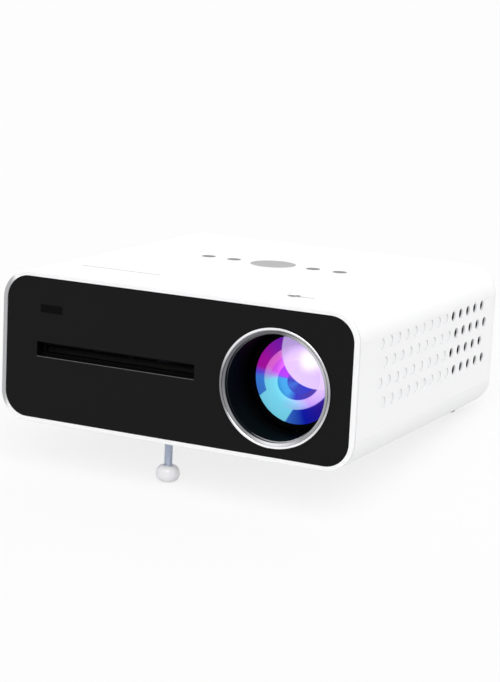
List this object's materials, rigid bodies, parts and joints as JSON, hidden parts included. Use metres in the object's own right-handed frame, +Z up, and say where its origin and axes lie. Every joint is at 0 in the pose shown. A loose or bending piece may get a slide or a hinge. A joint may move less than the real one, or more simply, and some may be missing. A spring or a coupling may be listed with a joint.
{
  "type": "disc projector",
  "caption": "Desk projector in a rounded white case: black front with a disc slot and a lens in a bright ring, keys on top, screw foot.",
  "frame": {"origin": "middle of the bounding box's underside, where the screw foot and rear pads stand", "axes": "+X to the right as seen from the front, +Y to the back, +Z up; the case is tilted nose up about X"},
  "size_m": [0.2724, 0.2786, 0.1433],
  "materials": {
    "white_case": "fine satin moulded plastic",
    "black_panel": "satin black",
    "dark_window": "gloss dark filter",
    "bright_ring": "polished",
    "black_plastic": "matt",
    "grey_key": "satin",
    "pale_key": "satin",
    "light_guide": "frosted",
    "coated_glass": "coated",
    "clear_glass": "clear",
    "clear_acrylic": "clear ribbed",
    "circuit_board": "solder mask",
    "sink_metal": "extruded",
    "sheet_steel": "zinc plated",
    "steel": "bright",
    "brass": "turned",
    "rubber": "matt",
    "milky_plastic": "translucent",
    "socket_black": "matt",
    "speaker_cone": "paper cone"
  },
  "bodies": {
    "case": {"top_cover": "white_case", "base_cover": "white_case", "left_side_panel": "white_case", "right_side_panel": "white_case", "rear_cover": "white_case", "front_frame": "white_case", "front_panel": "black_panel", "ir_window": "dark_window", "chrome_ring": "bright_ring", "slot_bezel": "black_plastic", "status_light_bar": "light_guide", "key_board": "circuit_board", "lens_tube": "black_plastic", "engine_housing": "black_plastic", "engine_lid": "black_plastic", "front_field_lens": "clear_acrylic", "lcd_panel": "dark_window", "rear_field_lens": "clear_acrylic", "condenser_lens": "clear_glass", "led_board": "sink_metal", "heat_sink": "sink_metal", "fan_frame": "black_plastic", "drive_chassis": "sheet_steel", "drive_cover": "sheet_steel", "drive_standoffs": "brass", "loading_motor": "steel", "drive_belt": "rubber", "spindle_motor": "steel", "guide_rods": "steel", "sled_motor": "steel", "main_board": "circuit_board", "power_board": "circuit_board", "speaker": "speaker_cone", "power_inlet": "socket_black", "video_socket": "steel", "audio_jack": "socket_black", "foot_insert": "brass", "rear_feet": "rubber", "tripod_insert": "brass", "base_screws": "steel"},
    "power_key": {"power_button": "grey_key"},
    "source_key": {"source_button": "grey_key"},
    "select_key": {"select_button": "pale_key"},
    "back_key": {"back_button": "grey_key"},
    "eject_key": {"eject_button": "grey_key"},
    "focus": {"focus_ring": "black_plastic", "focus_lever": "white_case"},
    "barrel": {"lens_barrel": "black_plastic", "lens_retainer": "black_plastic", "front_lens": "coated_glass", "rear_lens": "clear_glass"},
    "fan": {"fan_rotor": "black_plastic"},
    "roller": {"feed_roller": "rubber"},
    "loading_pulley": {"motor_pulley": "brass"},
    "spindle": {"turntable": "black_plastic"},
    "sled": {"pickup_sled": "sink_metal"},
    "sled_screw": {"lead_screw": "steel"},
    "foot": {"foot_screw": "steel", "foot_knob": "milky_plastic"}
  },
  "joints": [
    {"name": "power_key_press", "type": "slide", "parent": "case", "child": "power_key", "axis": [0, -0.1238, -0.9923], "range_m": [0, 0.0006], "stiffness_N_per_m": 600, "springref_m": -0.0003},
    {"name": "source_key_press", "type": "slide", "parent": "case", "child": "source_key", "axis": [0, -0.1238, -0.9923], "range_m": [0, 0.0006], "stiffness_N_per_m": 600, "springref_m": -0.0003},
    {"name": "select_key_press", "type": "slide", "parent": "case", "child": "select_key", "axis": [0, -0.1238, -0.9923], "range_m": [0, 0.0006], "stiffness_N_per_m": 600, "springref_m": -0.0003},
    {"name": "back_key_press", "type": "slide", "parent": "case", "child": "back_key", "axis": [0, -0.1238, -0.9923], "range_m": [0, 0.0006], "stiffness_N_per_m": 600, "springref_m": -0.0003},
    {"name": "eject_key_press", "type": "slide", "parent": "case", "child": "eject_key", "axis": [0, -0.1238, -0.9923], "range_m": [0, 0.0006], "stiffness_N_per_m": 600, "springref_m": -0.0003},
    {"name": "focus_turn", "type": "hinge", "parent": "case", "child": "focus", "pos_m": [0.0776, -0.09894, 0.0811], "axis": [0, 0.9923, -0.1238], "range_deg": [-3.4, 12.6]},
    {"name": "barrel_slide", "type": "slide", "parent": "case", "child": "barrel", "axis": [0, 0.9923, -0.1238], "range_m": [-0.00085, 0.00315]},
    {"name": "fan_spin", "type": "hinge", "parent": "case", "child": "fan", "pos_m": [0.1198, 0.08237, 0.06428], "axis": [1, 0, 0], "continuous": true},
    {"name": "roller_spin", "type": "hinge", "parent": "case", "child": "roller", "pos_m": [-0.0455, -0.11505, 0.08124], "axis": [1, 0, 0], "continuous": true},
    {"name": "loading_motor_spin", "type": "hinge", "parent": "case", "child": "loading_pulley", "pos_m": [0.019, -0.09754, 0.07614], "axis": [1, 0, 0], "continuous": true},
    {"name": "spindle_spin", "type": "hinge", "parent": "case", "child": "spindle", "pos_m": [-0.0455, -0.05898, 0.07828], "axis": [0, 0.1238, 0.9923], "continuous": true},
    {"name": "sled_slide", "type": "slide", "parent": "case", "child": "sled", "axis": [0, 0.9923, -0.1238], "range_m": [0, 0.034]},
    {"name": "lead_screw_turn", "type": "hinge", "parent": "case", "child": "sled_screw", "pos_m": [-0.0365, -0.04851, 0.06932], "axis": [0, 0.9923, -0.1238], "range_deg": [-0.5, 4080.5]},
    {"name": "foot_lift", "type": "slide", "parent": "case", "child": "foot", "axis": [0, 0.1238, 0.9923], "range_m": [-0.004, 0.017]}
  ],
  "couplings": [
    {"joint": "barrel_slide", "follows": "focus_turn", "m_per_rad": 0.014324},
    {"joint": "loading_motor_spin", "follows": "roller_spin", "ratio": 2},
    {"joint": "lead_screw_turn", "follows": "sled_slide", "rad_per_m": 2094.4}
  ]
}
